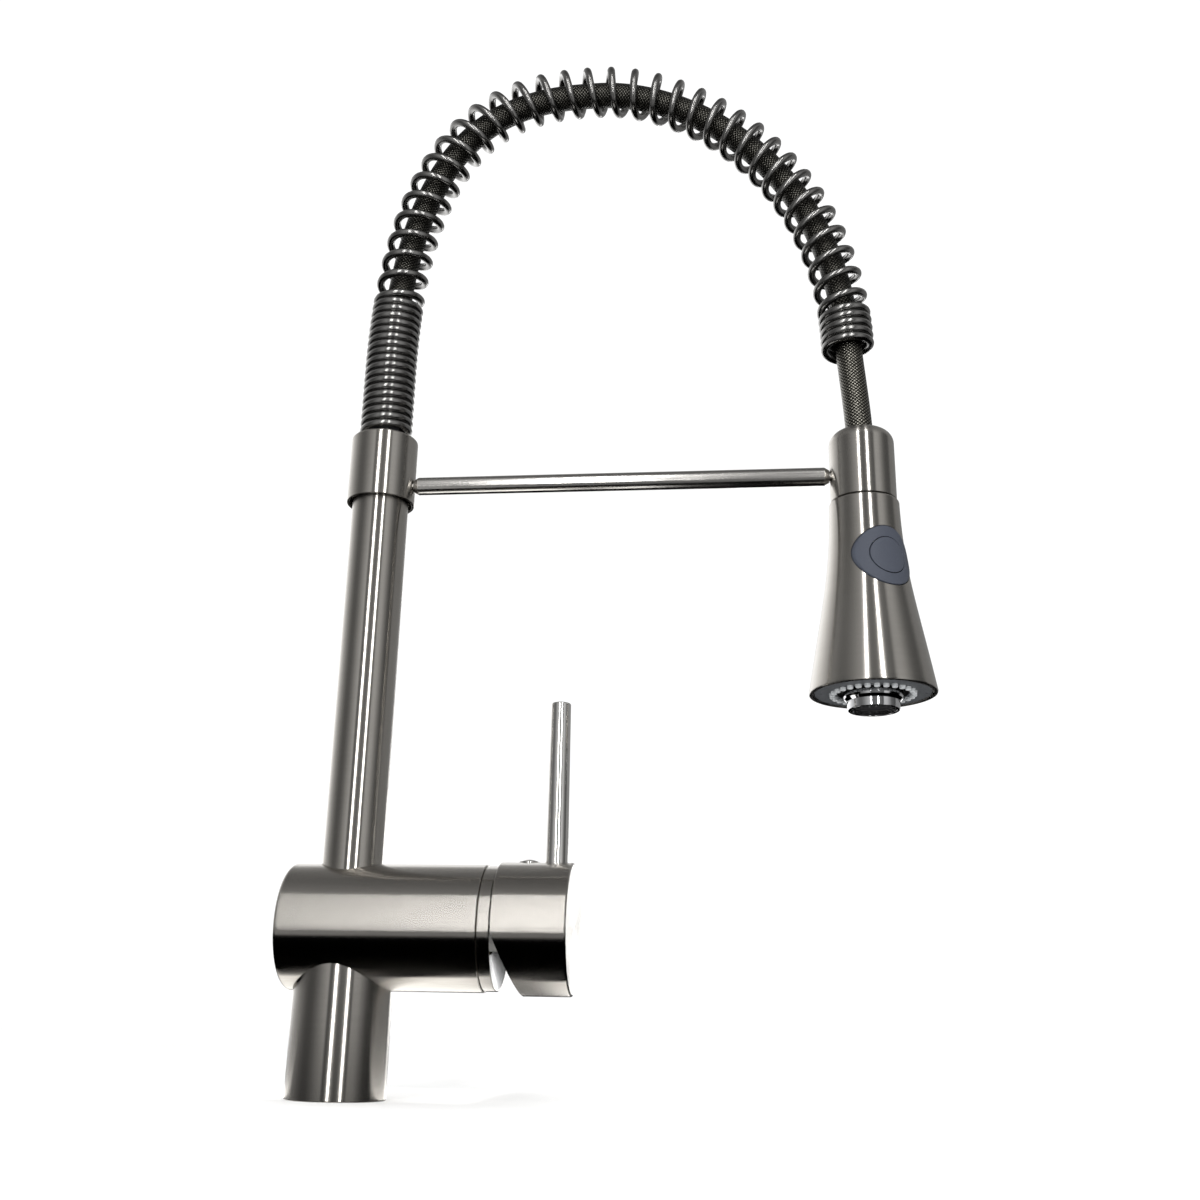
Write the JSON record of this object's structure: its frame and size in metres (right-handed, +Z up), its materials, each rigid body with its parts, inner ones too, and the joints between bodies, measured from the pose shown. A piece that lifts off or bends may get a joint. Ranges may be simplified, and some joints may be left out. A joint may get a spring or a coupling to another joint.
{
  "type": "pull-down kitchen faucet",
  "caption": "Single-handle pull-down kitchen faucet: riser, coil-spring arch over a braided hose, side arm with docking ring, trumpet spray head and horizontal mixer barrel.",
  "frame": {"origin": "centre of the base column's bottom face, on the deck", "axes": "+Z up along the riser, +X towards the spray head, the docking arm and the handle end of the mixer barrel, -Y towards the user"},
  "size_m": [0.3081, 0.0612, 0.5619],
  "materials": {
    "brushed_nickel": "satin, brushed round the axis",
    "spring_wire": "satin drawn wire",
    "bright_steel": "drawn and lightly polished",
    "braid": "woven wire",
    "brass": "machined",
    "nylon": "moulded",
    "ceramic": "lapped",
    "black_rubber": "moulded",
    "blue_rubber": "moulded, matt",
    "face_plastic": "moulded, satin",
    "silicone": "moulded",
    "chrome": "polished"
  },
  "bodies": {
    "body": {"base_column": "brushed_nickel", "base_seal": "black_rubber", "base_insert": "brass", "inlet_tube_cold": "brass", "inlet_tube_hot": "brass", "mixer_barrel": "brushed_nickel", "valve_body": "brass", "cartridge_seal": "black_rubber", "cartridge_base": "nylon", "ceramic_disc_fixed": "ceramic", "cartridge_housing": "nylon", "cartridge_nut": "brass", "trim_ring": "brushed_nickel", "outlet_nipple": "brass", "riser_tube": "brushed_nickel"},
    "mixing_rotor": {"cartridge_rotor": "nylon", "ceramic_disc_moving": "ceramic", "pivot_pin": "bright_steel"},
    "handle": {"cartridge_stem": "brass", "handle_cap": "brushed_nickel", "lever_rod": "bright_steel", "handle_screw": "bright_steel", "index_plug": "bright_steel"},
    "spout": {"docking_collar": "brushed_nickel", "collar_bush": "nylon", "arm_rod": "bright_steel", "holder_ring": "brushed_nickel", "holder_liner": "black_rubber", "spring_seat": "black_rubber", "spring_coil": "spring_wire", "hose_arch": "braid", "hose_inlet_ferrule": "bright_steel"},
    "hose_end": {"hose_tail": "braid", "hose_ferrule": "bright_steel", "hose_nut": "brass", "swivel_o_ring": "black_rubber"},
    "spray_head": {"spray_shell": "brushed_nickel", "spray_waterway": "nylon", "spray_face": "face_plastic", "nozzle_mat": "silicone", "aerator_nut": "chrome", "aerator_insert": "black_rubber", "button_pad": "blue_rubber"},
    "flow_button": {"spray_button": "blue_rubber", "button_plunger": "nylon"}
  },
  "joints": [
    {"name": "spout_swivel", "type": "hinge", "parent": "body", "child": "spout", "pos_m": [0, 0, 0.31], "axis": [0, 0, 1], "range_deg": [-180, 180]},
    {"name": "spray_pull", "type": "slide", "parent": "spout", "child": "hose_end", "axis": [0, 0, -1], "range_m": [0, 0.15], "stiffness_N_per_m": 30, "springref_m": -0.3, "deforming": ["hose_tail"]},
    {"name": "spray_turn", "type": "hinge", "parent": "hose_end", "child": "spray_head", "pos_m": [0.2505, 0, 0.289], "axis": [0, 0, 1], "continuous": true},
    {"name": "button_press", "type": "slide", "parent": "spray_head", "child": "flow_button", "axis": [-0.454, 0.891, 0], "range_m": [0, 0.002], "stiffness_N_per_m": 600, "springref_m": -0.002},
    {"name": "temperature_turn", "type": "hinge", "parent": "body", "child": "mixing_rotor", "pos_m": [0.071, 0, 0.077], "axis": [1, 0, 0], "range_deg": [-45, 45]},
    {"name": "handle_lift", "type": "hinge", "parent": "mixing_rotor", "child": "handle", "pos_m": [0.071, 0, 0.077], "axis": [0, 1, 0], "range_deg": [0, 25]}
  ]
}
